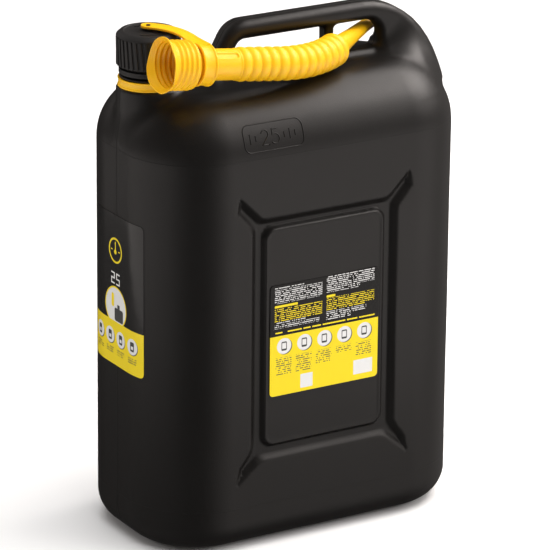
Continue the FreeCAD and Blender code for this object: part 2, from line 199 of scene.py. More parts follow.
def outline_field(corners, low, high, cell=1.0):
    """A function that reads the distance to an outline from a fine square grid of it."""
    outline = soft_outline(corners)
    us = np.arange(low[0], high[0] + cell, cell)
    vs = np.arange(low[1], high[1] + cell, cell)
    grid = outline_distance(outline, *np.meshgrid(us, vs, indexing="ij"))

    def read(u, v):
        a = np.clip((u - low[0]) / cell, 0, len(us) - 1.001)
        b = np.clip((v - low[1]) / cell, 0, len(vs) - 1.001)
        i, j = a.astype(int), b.astype(int)
        a, b = a - i, b - j
        return ((grid[i, j] * (1 - a) + grid[i + 1, j] * a) * (1 - b)
                + (grid[i, j + 1] * (1 - a) + grid[i + 1, j + 1] * a) * b)

    return read


HANDLE = {
    "outline": outline_field(HANDLE_OUTLINE, (-200, 420), (200, 540)),
    "window": outline_field(HANDLE_WINDOW, (-200, 420), (200, 540)),
}


def skin_of(field, low, cell):
    """Quads through the zero level of a sampled distance, facing outwards."""
    solid = field < 0
    nx, ny, nz = (n - 1 for n in field.shape)
    full = sum(solid[i:i + nx, j:j + ny, k:k + nz].astype(np.int8)
               for i in (0, 1) for j in (0, 1) for k in (0, 1))
    crossed = (full > 0) & (full < 8)
    cells = np.argwhere(crossed)
    number = np.full(crossed.shape, -1)
    number[crossed] = np.arange(len(cells))
    total = np.zeros((len(cells), 3))
    hits = np.zeros(len(cells))
    for axis in range(3):
        side_a, side_b = (n for n in range(3) if n != axis)
        for u in (0, 1):
            for v in (0, 1):
                start = cells.copy()
                start[:, side_a] += u
                start[:, side_b] += v
                stop = start.copy()
                stop[:, axis] += 1
                a, b = field[tuple(start.T)], field[tuple(stop.T)]
                cross = (a < 0) != (b < 0)
                place = start[cross].astype(float)
                place[:, axis] += (a / np.where(a == b, 1, a - b))[cross]
                total[cross] += place
                hits[cross] += 1
    points = np.array(low) + cell * total / hits[:, None]
    faces = []
    for axis, (b, c) in enumerate(((1, 2), (2, 0), (0, 1))):
        first = np.take(solid, range(solid.shape[axis] - 1), axis)
        second = np.take(solid, range(1, solid.shape[axis]), axis)
        edge = np.argwhere(first != second)
        outward = first[tuple(edge.T)]
        quad = []
        for db, dc in ((-1, -1), (0, -1), (0, 0), (-1, 0)):
            cell_at = edge.copy()
            cell_at[:, b] += db
            cell_at[:, c] += dc
            quad.append(number[tuple(cell_at.T)])
        quad = np.stack(quad, 1)
        quad[~outward] = quad[~outward][:, ::-1]
        faces.append(quad)
    return points, np.concatenate(faces)


def slope_of(distance, points, step=0.4):
    """Unit outward direction of a distance function at each point."""
    slope = np.empty_like(points)
    for axis in range(3):
        shift = np.zeros(3)
        shift[axis] = step
        slope[:, axis] = distance(*(points + shift).T) - distance(*(points - shift).T)
    return slope / np.maximum(np.linalg.norm(slope, axis=1, keepdims=True), 1e-9)


def placed(name, data):
    """An object of some data, in the scene."""
    piece = bpy.data.objects.new(name, data)
    bpy.context.collection.objects.link(piece)
    return piece


def mesh_piece(name, points, faces, normals=None):
    """An object at the origin whose mesh is given in millimetres."""
    mesh = bpy.data.meshes.new(name)
    mesh.from_pydata((np.asarray(points) * 0.001).tolist(), [], [list(f) for f in faces])
    mesh.update()
    mesh.shade_smooth()
    if normals is not None:
        mesh.normals_split_custom_set_from_vertices(normals.tolist())
    return placed(name, mesh)


def blow_can():
    """The shell: its skin on a grid, then moved onto the true surface, with the surface's own normals."""
    cell = CAN_CELL
    low = np.array(GRID_LOW)
    sizes = [int(n / cell) + 2 for n in GRID_SPAN]
    axes = [low[i] + cell * np.arange(sizes[i]) for i in range(3)]
    grid = np.meshgrid(*axes, indexing="ij")
    field = can_distance(*(g.ravel() for g in grid)).reshape(sizes)
    points, faces = skin_of(field, low, cell)
    for _ in range(3):
        gap = np.clip(can_distance(*points.T), -1, 1)
        points -= gap[:, None] * slope_of(can_distance, points)
    points[:, 2] = np.maximum(points[:, 2], 0)
    normals = slope_of(can_distance, points, 0.6)
    return mesh_piece("can_shell", points, faces.tolist(), normals)


def group_ends(group, inputs, outputs, kind="NodeSocketFloat"):
    """Gives a node group its sockets, typed by their values, and returns them as they are met inside it."""
    kinds = {float: "NodeSocketFloat", int: "NodeSocketInt", tuple: "NodeSocketVector"}
    for name, value in inputs.items():
        socket = group.interface.new_socket(
            name=name, in_out="INPUT", socket_type=kinds.get(type(value), "NodeSocketMaterial"))
        if value is not None:
            socket.default_value = value
    for name in outputs:
        group.interface.new_socket(name=name, in_out="OUTPUT", socket_type=kind)
    return group.nodes.new("NodeGroupInput").outputs, group.nodes.new("NodeGroupOutput").inputs


def chain(tree, kind, settings, **sockets):
    """A node with its properties set, and its inputs given as values, sockets or nodes."""
    node = tree.nodes.new(kind)
    for key, value in settings.items():
        setattr(node, key, value)
    for key, value in sockets.items():
        by_number = key[0] == "i" and key[1:].isdigit()
        slot = node.inputs[int(key[1:]) if by_number else key.replace("_", " ")]
        value = value.outputs[0] if isinstance(value, bpy.types.Node) else value
        if isinstance(value, bpy.types.NodeSocket):
            tree.links.new(value, slot)
        else:
            slot.default_value = value
    return node


def maths(tree, operation, *values):
    """The result of one Math node."""
    sockets = {f"i{n}": value for n, value in enumerate(values)}
    return chain(tree, "ShaderNodeMath", {"operation": operation}, **sockets).outputs[0]


def moulded_finish():
    """Node group for moulded plastic: the fine grain of the tool, slow waves, and the shine they give."""
    group = bpy.data.node_groups.new("moulded_finish", "ShaderNodeTree")
    given, out = group_ends(
        group, {"Grain Scale": 1100.0, "Grain": 0.5, "Wave": 0.3, "Shine": 0.45, "Shine Change": 0.1},
        ("Height", "Roughness", "Mottle"))
    place = group.nodes.new("ShaderNodeTexCoord").outputs["Object"]
    grain = chain(group, "ShaderNodeTexNoise", {}, Vector=place, Scale=given["Grain Scale"], Detail=3.0,
                  Roughness=0.62)
    wave = chain(group, "ShaderNodeTexNoise", {}, Vector=place, Scale=34.0, Detail=2.0)
    mottle = chain(group, "ShaderNodeTexNoise", {}, Vector=place, Scale=9.0, Detail=4.0, Roughness=0.6)
    fine = maths(group, "MULTIPLY", grain.outputs["Fac"], given["Grain"])
    slow = maths(group, "MULTIPLY", wave.outputs["Fac"], given["Wave"])
    height = maths(group, "ADD", fine, slow)
    centred = maths(group, "SUBTRACT", mottle.outputs["Fac"], 0.5)
    shine = maths(group, "MULTIPLY_ADD", centred, given["Shine Change"], given["Shine"])
    group.links.new(height, out["Height"])
    group.links.new(shine, out["Roughness"])
    group.links.new(mottle.outputs["Fac"], out["Mottle"])
    return group


MOULDED = moulded_finish()


def fresh_material(name):
    """A material, its node tree and its shader."""
    material = bpy.data.materials.new(name)
    material.use_nodes = True
    return material, material.node_tree, material.node_tree.nodes["Principled BSDF"]


def dress(tree, shader, colour, finish, height, relief):
    """Gives a shader its colour, its shine and its relief."""
    bump = chain(tree, "ShaderNodeBump", {}, Height=height, Distance=relief, Strength=1.0)
    tree.links.new(colour, shader.inputs["Base Color"])
    tree.links.new(finish.outputs["Roughness"], shader.inputs["Roughness"])
    tree.links.new(bump.outputs["Normal"], shader.inputs["Normal"])


def plastic(name, pale, deep, shine, shine_change=0.1, grain=0.5, wave=0.3, scale=1100.0, relief=0.00022, marks=None,
            through=0.0):
    """A moulded plastic, mottled between two colours; marks adds raised detail to its height."""
    material, tree, shader = fresh_material(name)
    finish = chain(tree, "ShaderNodeGroup", {"node_tree": MOULDED}, Grain_Scale=scale, Grain=grain, Wave=wave,
                   Shine=shine, Shine_Change=shine_change)
    colour = chain(tree, "ShaderNodeMix", {"data_type": "RGBA"}, i0=finish.outputs["Mottle"], i6=(*deep, 1),
                   i7=(*pale, 1))
    height = finish.outputs["Height"]
    if marks:
        height = maths(tree, "ADD", height, marks(tree))
    dress(tree, shader, colour.outputs[2], finish, height, relief)
    if through:
        shader.inputs["Subsurface Weight"].default_value = through
        shader.inputs["Subsurface Radius"].default_value = (1.0, 0.45, 0.08)
        shader.inputs["Subsurface Scale"].default_value = 0.0022
    return material


def ridge_line(tree, value, at, half_width, height):
    """A low raised line where a coordinate passes a value."""
    away = maths(tree, "COMPARE", value, at, half_width)
    size = maths(tree, "ABSOLUTE", maths(tree, "SUBTRACT", value, at))
    profile = chain(tree, "ShaderNodeMapRange", {"interpolation_type": "SMOOTHSTEP"}, Value=size,
                    i1=half_width * 0.25, i2=half_width, i3=height, i4=0.0)
    return maths(tree, "MULTIPLY", profile.outputs[0], away)


def mould_lines(tree):
    """The split of the mould down both narrow sides, and the joints of its blocks near top and foot."""
    place = tree.nodes.new("ShaderNodeTexCoord").outputs["Object"]
    parts = chain(tree, "ShaderNodeSeparateXYZ", {}, Vector=place)
    split = ridge_line(tree, parts.outputs["Y"], 0.0, 0.0009, 1.6)
    upper = ridge_line(tree, parts.outputs["Z"], 0.4035, 0.0008, 0.35)
    lower = ridge_line(tree, parts.outputs["Z"], 0.046, 0.0008, 0.35)
    return maths(tree, "ADD", split, maths(tree, "ADD", upper, lower))


can_plastic = plastic("black_blown_plastic", (0.0075, 0.0066, 0.0060), (0.0050, 0.0044, 0.0040), 0.40, 0.12,
                      grain=0.34, wave=0.5, scale=900.0, relief=0.0003, marks=mould_lines)

can_shell = blow_can()
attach(can_shell, "can")
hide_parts("can_body")
can_shell.data.materials.append(can_plastic)


# ---------------------------------------------------------------- capacity mark
# A rounded frame with the plain number of litres and filling marks in it, raised half a millimetre
# on the front shoulder. It was cut into the mould, so it is of the same plastic as the can.

MARK_FRAME = [(-90, 411, 7), (-24, 411, 7), (-24, 436, 7), (-90, 436, 7)]


def front_skin(x, z):
    """Where the front of the can is at (x, z)."""
    x, z = np.asarray(x, float), np.asarray(z, float)
    y = np.full(x.shape, -100.0)
    for _ in range(14):
        y = y + can_distance(x, y, z) * 0.9
    return y


def strips(rows, wide, loop_rows=False, loop_wide=False):
    """Quads over rows of points; either way may close on itself."""
    faces = []
    for i in range(rows if loop_rows else rows - 1):
        here, beyond = i * wide, (i + 1) % rows * wide
        for k in range(wide if loop_wide else wide - 1):
            n = (k + 1) % wide
            faces.append((here + k, here + n, beyond + n, beyond + k))
    return faces


def raised_line(points, half_width, height, closed):
    """A low soft-edged bead that follows points (x, z) over the front of the can."""
    points = np.asarray(points, float)
    ahead = (np.roll(points, -1, axis=0) - np.roll(points, 1, axis=0)) if closed else np.gradient(points, axis=0)
    ahead /= np.linalg.norm(ahead, axis=1, keepdims=True)
    beside = np.stack([-ahead[:, 1], ahead[:, 0]], 1)
    profile = [(-1.0, -0.5), (-0.72, 0.45), (-0.35, 0.9), (0.0, 1.0), (0.35, 0.9), (0.72, 0.45), (1.0, -0.5)]
    rows = []
    for share, rise in profile:
        at = points + beside * half_width * share
        skin = np.stack([at[:, 0], front_skin(at[:, 0], at[:, 1]), at[:, 1]], 1)
        rows.append(skin + slope_of(can_distance, skin) * height * rise)
    count, wide = len(points), len(profile)
    faces = strips(wide, count, loop_wide=closed)
    if not closed:
        faces.append([k * count for k in range(wide)])
        faces.append([k * count + count - 1 for k in range(wide - 1, -1, -1)])
    return np.concatenate(rows), faces


def dense(points, step=1.2):
    """A line of points no further apart than a step."""
    points = np.asarray(points, float)
    out = [points[0]]
    for a, b in zip(points, points[1:]):
        parts = max(1, int(np.linalg.norm(b - a) / step))
        out += [a + (b - a) * (k + 1) / parts for k in range(parts)]
    return np.array(out)


def bow(centre, radius, first, last):
    """Points on an arc, in degrees."""
    angles = np.radians(np.linspace(first, last, max(4, int(abs(last - first) / 9))))
    return np.stack([centre[0] + radius * np.cos(angles), centre[1] + radius * np.sin(angles)], 1)


def joined(parts):
    """Points and faces of several meshes as one; each part is a pair of its points and its faces."""
    verts, faces, base = [], [], 0
    for points, polygons in parts:
        verts.append(points)
        faces += [tuple(n + base for n in polygon) for polygon in polygons]
        base += len(points)
    return np.concatenate(verts), faces


def mark_points():
    """The mark's frame, its two digits and its tick bars."""
    outline = soft_outline(MARK_FRAME)
    parts = [raised_line(dense(np.concatenate([outline, outline[:1]]))[:-1], 0.7, 0.55, True)]
    two = np.concatenate([bow((-66.5, 426.4), 3.6, 165, -35), [(-70.3, 416.6), (-62.6, 416.6)]])
    five = np.concatenate([[(-51.9, 430.0), (-57.9, 430.0), (-58.4, 424.2)], bow((-55.6, 421.2), 4.6, 128, -150)])
    for stroke in (two, five):
        parts.append(raised_line(dense(stroke), 0.75, 0.55, False))
    for x, low, high in ((-83, 419, 428), (-77, 421, 426), (-45, 421, 426), (-39, 419, 428), (-33, 421, 426)):
        parts.append(raised_line(dense([(x, low), (x, high)]), 0.6, 0.5, False))
    return joined(parts)


def face_outwards(piece, sharp=None, merge=True, strip=False):
    """Turns each face outwards, or an open strip's away from the can; edges over the sharp angle stay sharp."""
    mesh = bmesh.new()
    mesh.from_mesh(piece.data)
    if strip:
        bmesh.ops.reverse_faces(mesh, faces=[face for face in mesh.faces if face.normal.y > 0])
    else:
        if merge:
            bmesh.ops.remove_doubles(mesh, verts=mesh.verts, dist=1e-6)
        bmesh.ops.recalc_face_normals(mesh, faces=mesh.faces)
    mesh.to_mesh(piece.data)
    mesh.free()
    piece.data.shade_smooth()
    if sharp:
        piece.data.set_sharp_from_angle(angle=math.radians(sharp))


capacity_mark = mesh_piece("capacity_mark", *mark_points())
face_outwards(capacity_mark, strip=True)
capacity_mark.data.materials.append(can_plastic)
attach(capacity_mark, "can")


# ---------------------------------------------------------------- neck
# The turned end of the shell: a collar for the ring, a bead that keeps it on, and the screw
# thread for the cap or the spout. It is trimmed and reamed after blowing, so its rim is crisp.

NECK_PROFILE = [
    (18.4, 452.0), (27.0, 452.0), (27.0, 472.2), (28.0, 472.7), (28.5, 473.4), (28.5, 474.0), (27.9, 474.7),
    (22.2, 474.9), (20.9, 475.6), (20.7, 476.6), (20.7, 506.2), (20.0, 507.0), (19.0, 507.0), (18.4, 506.4),
]
THREAD_LOW, THREAD_PITCH, THREAD_TURNS = 485.0, 5.5, 2.2


def turned_points(profile, steps, x=0.0, y=0.0):
    """Points and faces of a closed (radius, z) profile turned about an upright axis."""
    angles = 2 * math.pi * np.arange(steps) / steps
    rows = [np.stack([x + r * np.cos(angles), y + r * np.sin(angles), np.full(steps, z)], 1) for r, z in profile]
    return np.concatenate(rows), strips(len(profile), steps, True, True)


def bar_faces(rows, wide):
    """Quads round a bar, and a face at each of its ends."""
    last = rows * wide - 1
    return [*strips(rows, wide, loop_wide=True), tuple(range(wide)), tuple(range(last, last - wide, -1))]


def thread_points(inner, outer, low, turns, pitch, half_width, x, y, per_turn=72):
    """A screw ridge that fades out at both ends."""
    count = int(turns * per_turn)
    verts = []
    for i in range(count + 1):
        angle = 2 * math.pi * i / per_turn
        z = low + pitch * i / per_turn
        fade = float(ease(np.array(min(i, count - i) / (per_turn * 0.12))))
        reach = inner + (outer - inner) * max(fade, 0.02)
        for r, dz in ((inner - 0.4, -half_width), (inner, -half_width), (reach, -half_width * 0.42),
                      (reach, half_width * 0.42), (inner, half_width), (inner - 0.4, half_width)):
            verts.append((x + r * math.cos(angle), y + r * math.sin(angle), z + dz))
    return np.array(verts), bar_faces(count + 1, 6)


can_neck = mesh_piece("can_neck", *joined([
    turned_points(NECK_PROFILE, 120, NECK_X),
    thread_points(20.7, 22.3, THREAD_LOW, THREAD_TURNS, THREAD_PITCH, 1.2, NECK_X, 0),
]))
face_outwards(can_neck, 38)
can_neck.data.materials.append(can_plastic)
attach(can_neck, "can")


# ---------------------------------------------------------------- neck ring
# A loose band of yellow polyethylene round the neck, sprung over the bead. It has a lip top and
# bottom and turns freely.

RING_PROFILE = [
    (27.6, 464.2), (28.0, 463.7), (29.6, 463.6), (30.0, 464.0), (30.0, 465.0), (29.5, 465.5), (29.25, 466.2),
    (29.25, 470.2), (29.5, 470.8), (29.95, 471.2), (29.95, 471.8), (29.6, 472.2), (28.0, 472.2),
    (27.6, 471.7),
]

spout_plastic = plastic("yellow_moulded_plastic", (0.87, 0.51, 0.006), (0.80, 0.40, 0.004), 0.36, 0.10,
                        grain=0.16, wave=0.5, scale=700.0, relief=0.0002, through=0.12)
neck_ring = mesh_piece("neck_band", *turned_points(RING_PROFILE, 128, NECK_X))
face_outwards(neck_ring)
neck_ring.data.materials.append(spout_plastic)
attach(neck_ring, "neck_loop")
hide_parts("neck_ring")


# ---------------------------------------------------------------- cap
# A push-and-turn cap in two shells of black polypropylene. The outer shell has slanted grip ribs
# under a smooth chamfer; the inner one carries the thread and shows as a plain band below.

CAP_RIBS = 36
ARROW_LOW, ARROW_TOP = 517.3, 518.0
CAP_PROFILE = [
    (3.5, 517.9), (3.8, 518.0), (12.4, 518.0), (12.8, 517.6), (13.3, 517.5), (23.2, 517.5), (23.7, 517.6),
    (24.1, 518.0), (26.9, 518.0), (27.6, 517.8), (30.95, 514.7), (31.3, 514.1), (31.3, 513.3), (31.0, 512.9),
    (30.2, 512.7), (30.1, 512.2), (30.0, 487.2), (30.3, 486.4), (30.3, 485.2), (29.9, 484.6), (26.4, 484.6),
    (26.4, 486.8), (28.3, 487.4), (28.3, 516.0), (3.5, 516.0),
]
cap_plastic = plastic("black_cap_plastic", (0.0175, 0.0163, 0.0156), (0.0120, 0.0113, 0.0110), 0.46, 0.12, grain=0.5,
                      wave=0.2, scale=1500.0, relief=0.00022)


def socket_of(tree, name):
    """The identifier of a tree's named input."""
    return next(s.identifier for s in tree.interface.items_tree if s.name == name and s.in_out == "INPUT")


def grip_ribs_tree():
    """Slanted ribs with rounded edges, spaced evenly round an upright axis."""
    tree = bpy.data.node_groups.new("grip_ribs", "GeometryNodeTree")
    given, out = group_ends(
        tree, {"Count": 36, "Radius": 0.03, "Low": 0.0, "High": 0.03, "Slant": 0.002, "Rib Width": 0.003,
               "Rib Depth": 0.002, "Edge": 0.0005, "Middle": (0, 0, 0), "Finish": None},
        ("Geometry",), "NodeSocketGeometry")
    turn = maths(tree, "DIVIDE", 2 * math.pi, given["Count"])
    angle = maths(tree, "MULTIPLY", tree.nodes.new("GeometryNodeInputIndex").outputs[0], turn)
    points = chain(tree, "GeometryNodePoints", {}, Count=given["Count"], Position=given["Middle"])
    first = chain(tree, "ShaderNodeCombineXYZ", {}, X=given["Radius"], Z=given["Low"])
    last = chain(tree, "ShaderNodeCombineXYZ", {}, X=given["Radius"], Y=given["Slant"], Z=given["High"])
    line = chain(tree, "GeometryNodeCurvePrimitiveLine", {}, Start=first, End=last)
    run = chain(tree, "GeometryNodeResampleCurve", {}, Curve=line, Count=6)
    outline = chain(tree, "GeometryNodeCurvePrimitiveQuadrilateral", {}, Width=given["Rib Depth"],
                    Height=given["Rib Width"])
    rounded = chain(tree, "GeometryNodeFilletCurve", {"mode": "POLY"}, Curve=outline, Count=3, Radius=given["Edge"])
    bar = chain(tree, "GeometryNodeCurveToMesh", {}, Curve=run, Profile_Curve=rounded, Fill_Caps=True)
    spin = chain(tree, "ShaderNodeCombineXYZ", {}, Z=angle)
    ribs = chain(tree, "GeometryNodeInstanceOnPoints", {}, Points=points, Instance=bar, Rotation=spin)
    real = chain(tree, "GeometryNodeRealizeInstances", {}, Geometry=ribs)
    painted = chain(tree, "GeometryNodeSetMaterial", {}, Geometry=real, Material=given["Finish"])
    tree.links.new(painted.outputs[0], out["Geometry"])
    return tree


def grown(name, tree, values):
    """The plain mesh that a Geometry Nodes tree makes from its named inputs."""
    seed = placed(name + "_seed", bpy.data.meshes.new(name + "_seed"))
    modifier = seed.modifiers.new("nodes", "NODES")
    modifier.node_group = tree
    for key, value in values.items():
        modifier[socket_of(tree, key)] = value
    bpy.context.view_layer.update()
    mesh = bpy.data.meshes.new_from_object(seed.evaluated_get(bpy.context.evaluated_depsgraph_get()))
    bpy.data.objects.remove(seed)
    mesh.name = name
    return placed(name, mesh)


cap_shell = mesh_piece("cap_shell_skin", *turned_points(CAP_PROFILE, 180, NECK_X))
face_outwards(cap_shell, 34)
cap_shell.data.materials.append(cap_plastic)
cap_ribs = grown("cap_grip_ribs", grip_ribs_tree(), {
    "Count": CAP_RIBS, "Radius": 0.0303, "Low": 0.4852, "High": 0.5128, "Slant": -0.0022, "Rib Width": 0.0031,
    "Rib Depth": 0.0021, "Edge": 0.0005, "Middle": (NECK_X * 0.001, 0.0, 0.0), "Finish": cap_plastic})
face_outwards(cap_ribs, 50)


def turn_arrows():
    """Two low arrows and an arc on the cap's top, as a plain sign for the way it opens."""
    parts = []
    for start in (35, 215):
        angles = np.radians(np.linspace(start, start + 62, 16))
        ring = [(NECK_X + r * math.cos(a), r * math.sin(a), z) for a in angles
                for r, z in ((17.4, ARROW_LOW), (17.4, ARROW_TOP), (19.0, ARROW_TOP), (19.0, ARROW_LOW))]
        parts.append((np.array(ring), bar_faces(len(angles), 4)))
        tip = math.radians(start + 74)
        base = math.radians(start + 62)
        flat = [(15.6, base), (20.8, base), (18.2, tip)]
        head = [(NECK_X + r * math.cos(a), r * math.sin(a), z) for z in (ARROW_LOW, ARROW_TOP) for r, a in flat]
        parts.append((np.array(head), [(0, 2, 1), (3, 4, 5), (0, 1, 4, 3), (1, 2, 5, 4), (2, 0, 3, 5)]))
    return joined(parts)


cap_arrows = mesh_piece("cap_turn_arrows", *turn_arrows())
face_outwards(cap_arrows, 30)
cap_arrows.data.materials.append(cap_plastic)
for part in (cap_shell, cap_ribs, cap_arrows):
    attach(part, "cap_shell")
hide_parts("cap_outer")


def refinish(node, material):
    """Gives a CAD node a better finish and leaves its shape alone."""
    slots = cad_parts[node].material_slots
    for slot in slots:
        slot.material = material
    if not slots:
        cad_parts[node].data.materials.append(material)


refinish("cap_inner", cap_plastic)


# ---------------------------------------------------------------- cap liner
# A disc of pressed foam under the cap, which seals on the rim of the neck. It is hidden unless the
# cap is off.

liner_foam = plastic("white_liner_foam", (0.70, 0.69, 0.66), (0.60, 0.59, 0.56), 0.75, 0.1, grain=1.0, wave=0.1,
                     scale=2600.0, relief=0.0001)
refinish("cap_seal", liner_foam)


# ---------------------------------------------------------------- tether
# A soft strap from the swivel pin in the cap to the band that holds the spout. It has a raised edge
# all round, and was moulded in one piece with the band.

MOUTH = np.array([-163.0, -60.0, 501.0])
SPOUT_AXIS = np.array([0.99144, 0.0, -0.13053])
NOZZLE_AXIS_UNIT = NOZZLE_AXIS / np.linalg.norm(NOZZLE_AXIS)
BAND_AT = 37.0
BAND_WIDTH = 14.5
BAND_INNER = 18.0
STRAP_HALF = 7.25
STRAP_LEVEL = 521.9
BAND_TOP = MOUTH + SPOUT_AXIS * (BAND_AT + BAND_WIDTH / 2) + np.array([0, 0, BAND_INNER + 1.2])
STRAP_POLES = np.array([
    (NECK_X, 0, STRAP_LEVEL), (NECK_X + 12, -14, STRAP_LEVEL), (BAND_TOP[0] + 1, -34, STRAP_LEVEL),
    (BAND_TOP[0], BAND_TOP[1] + 24, BAND_TOP[2]), (BAND_TOP[0], BAND_TOP[1] - 2, BAND_TOP[2])])


def on_route(poles, share):
    """A point of the curve that the poles pull."""
    poles = poles.copy()
    while len(poles) > 1:
        poles = poles[:-1] + (poles[1:] - poles[:-1]) * share
    return poles[0]


def strap_rows():
    """Sections of the strap: centre, direction, half width and thickness."""
    first = STRAP_POLES[1] - STRAP_POLES[0]
    first = first / np.linalg.norm(first)
    rows = []
    for back in (7.2, 7.05, 6.7, 6.0, 5.0, 3.6, 1.8):
        rows.append((STRAP_POLES[0] - first * back, first, math.sqrt(STRAP_HALF ** 2 - back ** 2)))
    for i in range(49):
        share = i / 48
        ahead = on_route(STRAP_POLES, min(share + 0.01, 1)) - on_route(STRAP_POLES, max(share - 0.01, 0))
        wide = STRAP_HALF + 2.4 * float(ease(np.array((share - 0.72) / 0.28)))
        rows.append((on_route(STRAP_POLES, share), ahead / np.linalg.norm(ahead), wide))
    return rows


def strap_points():
    """The strap with its raised edge."""
    across = [
        (-1.0, -0.7), (-1.0, 0.9), (-0.97, 1.25), (-0.90, 1.3), (-0.83, 1.15), (-0.76, 0.65), (-0.4, 0.55),
        (0.0, 0.52), (0.4, 0.55), (0.76, 0.65), (0.83, 1.15), (0.90, 1.3), (0.97, 1.25), (1.0, 0.9),
        (1.0, -0.7), (0.95, -1.25), (0.6, -1.3), (0.0, -1.3), (-0.6, -1.3), (-0.95, -1.25),
    ]
    verts = []
    rows = strap_rows()
    for centre, ahead, half in rows:
        beside = np.cross(ahead, (0, 0, 1.0))
        beside /= np.linalg.norm(beside)
        up = np.cross(beside, ahead)
        for u, v in across:
            verts.append(centre + beside * half * u + up * v)
    return np.array(verts), bar_faces(len(rows), len(across))


def ring_points(profile, origin, axis, steps=128):
    """A closed (radius, run) profile turned about any axis."""
    side = np.cross(axis, (0, 1.0, 0))
    side /= np.linalg.norm(side)
    other = np.cross(axis, side)
    points, faces = turned_points(profile, steps)
    return origin + points[:, :1] * side + points[:, 1:2] * other + points[:, 2:] * axis, faces


BAND_PROFILE = [
    (18.0, 0.5), (18.4, 0.0), (20.6, 0.0), (20.95, 0.4), (20.95, 1.2), (20.6, 1.7), (20.1, 2.1), (19.9, 2.8),
    (19.9, 11.7), (20.1, 12.4), (20.6, 12.8), (20.95, 13.3), (20.95, 14.1), (20.6, 14.5), (18.4, 14.5),
    (18.0, 14.0),
]
strap = mesh_piece("strap_and_band", *joined([
    strap_points(),
    ring_points(BAND_PROFILE, MOUTH + SPOUT_AXIS * BAND_AT, SPOUT_AXIS),
]))
face_outwards(strap, 58)
strap.data.materials.append(spout_plastic)
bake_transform(strap)
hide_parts("tether_strap")
refinish("tether_button", cap_plastic)


# ---------------------------------------------------------------- spout
# A flexible pouring spout, blown in one piece of yellow polyethylene: a screw mouth with a trimmed
# lip, a plain tube, corrugations that let it bend, and a tapered nozzle.

BEND_START = 128.0
BEND_RADIUS = 138.05
BEND_TURN = 0.64979
BELLOWS_START = 83.0
BELLOWS_END = BEND_START + BEND_RADIUS * BEND_TURN
CONVOLUTIONS = 13
HINGE = np.cross(SPOUT_AXIS, NOZZLE_AXIS_UNIT)
HINGE /= np.linalg.norm(HINGE)
INWARD = np.cross(HINGE, SPOUT_AXIS)
SPOUT_SIDES = 112
NOZZLE_TAPER = [0, 1.6, 4, 40, 74, 104], [14.2, 13.2, 10.6, 8.05, 6.5, 6.5]
MOUTH_RADIUS, TUBE_RADIUS, SPOUT_PITCH = 23.75, 15.3, 5.5
SLOT_AT, SLOT_HALF, SLOT_ANGLE, SLOT_DEPTH = 62.5, 13.5, 1.10, 1.5
SPOUT_WALL, BELLOWS_BORE = 1.15, 13.4


def spout_centre(s):
    """Point and direction of the spout's bent centre line at distance s from its mouth."""
    turn = np.clip((s - BEND_START) / BEND_RADIUS, 0, BEND_TURN)
    ahead = np.cos(turn)[:, None] * SPOUT_AXIS + np.sin(turn)[:, None] * INWARD
    start = MOUTH + SPOUT_AXIS * np.minimum(s, BEND_START)[:, None]
    bent = SPOUT_AXIS * (BEND_RADIUS * np.sin(turn))[:, None] + INWARD * (BEND_RADIUS * (1 - np.cos(turn)))[:, None]
    beyond = np.maximum(s - BELLOWS_END, 0)[:, None] * ahead
    return start + bent + beyond, ahead


def spout_radius(s, angle):
    """Outer radius at distance s along the spout and angle round it."""
    s, angle = np.broadcast_arrays(s, angle)
    screw = np.cos(2 * math.pi * (s / SPOUT_PITCH) - angle)
    fade = ease((s - 4.5) / 3) * ease((31.0 - s) / 3)
    flare = 3.9 * (1 - ease(s / 7.5)) * (1 + 0.16 * np.cos(3 * angle + 0.6) + 0.08 * np.cos(7 * angle + 2.0))
    mouth = MOUTH_RADIUS + 0.75 * screw * fade + flare
    cone = ease((s - 30.5) / 4.8)
    tube = TUBE_RADIUS + 0.55 * ease((s - 80.2) / 1.5)
    front = mouth * (1 - cone) + tube * cone
    run = np.clip((s - BELLOWS_START) / (BELLOWS_END - BELLOWS_START), 0, 1) * CONVOLUTIONS
    bead = 1 - np.abs(2 * (run - np.floor(run)) - 1) ** 2.6
    bellows = 14.7 + 2.1 * bead
    past = s - BELLOWS_END
    nozzle = np.interp(past, *NOZZLE_TAPER)
    return np.where(s < BELLOWS_START, front, np.where(past < 0, bellows, nozzle))


def pocket(s, angle):
    """Depth of the long slot along the top of the tube, with the low rim round it."""
    off = (angle - SLOT_ANGLE + math.pi) % (2 * math.pi) - math.pi
    reach = np.maximum(np.abs(s - SLOT_AT) - SLOT_HALF, 0)
    away = np.hypot(reach, off * TUBE_RADIUS)
    return SLOT_DEPTH * (1 - ease((away - 1.9) / 1.1)) - 0.35 * np.exp(-((away - 3.9) / 0.8) ** 2)


